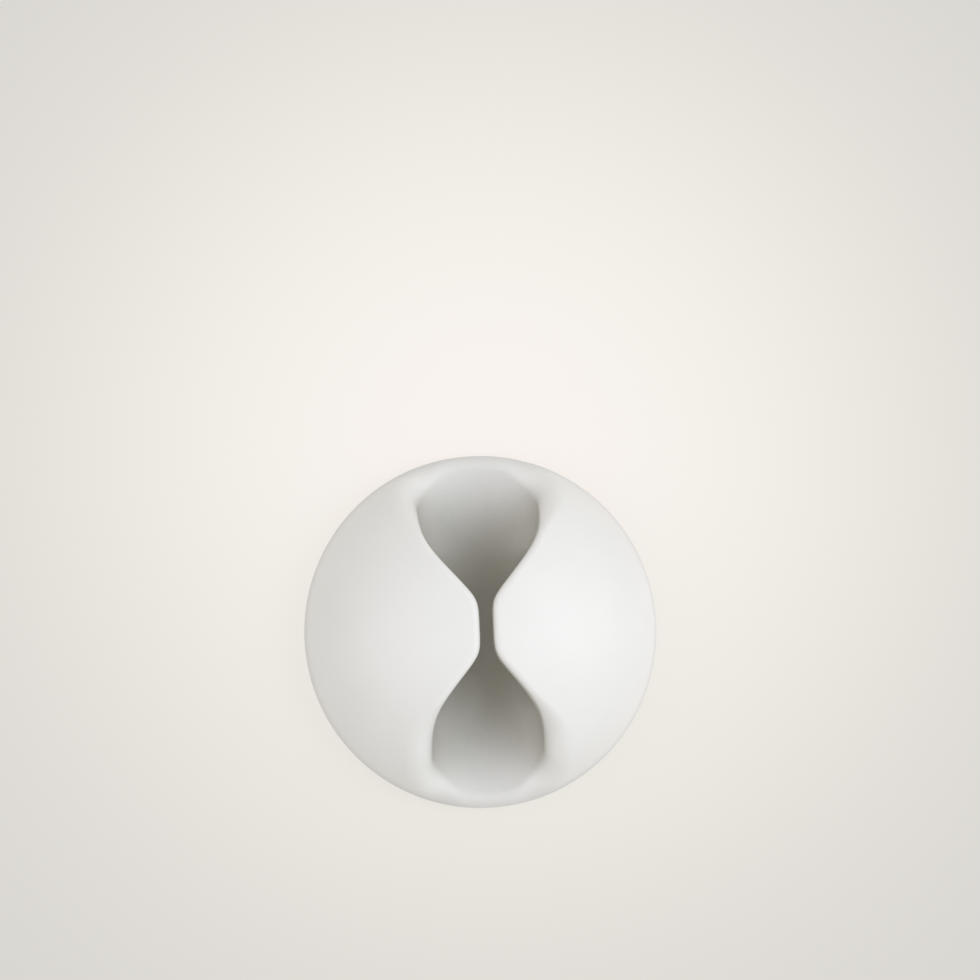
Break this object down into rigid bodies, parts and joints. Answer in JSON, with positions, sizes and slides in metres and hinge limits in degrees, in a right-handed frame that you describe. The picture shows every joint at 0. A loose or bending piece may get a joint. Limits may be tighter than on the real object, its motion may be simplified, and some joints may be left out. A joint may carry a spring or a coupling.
{
  "type": "cable holder",
  "caption": "Soft round stick-on cable holder: a rubber dome with a channel through it, open to the top through an hourglass slit, on a foam disc.",
  "frame": {"origin": "middle of the foam disc's underside, on the surface that the holder is stuck to", "axes": "+Z out of that surface, up through the dome; +Y along the channel, towards its slightly wider mouth; +X across the slit"},
  "size_m": [0.0234, 0.0234, 0.0112],
  "materials": {
    "white_rubber": "matte",
    "foam_disc": "matte"
  },
  "bodies": {
    "root": {"clip_body": "white_rubber", "adhesive_disc": "foam_disc"}
  },
  "joints": []
}
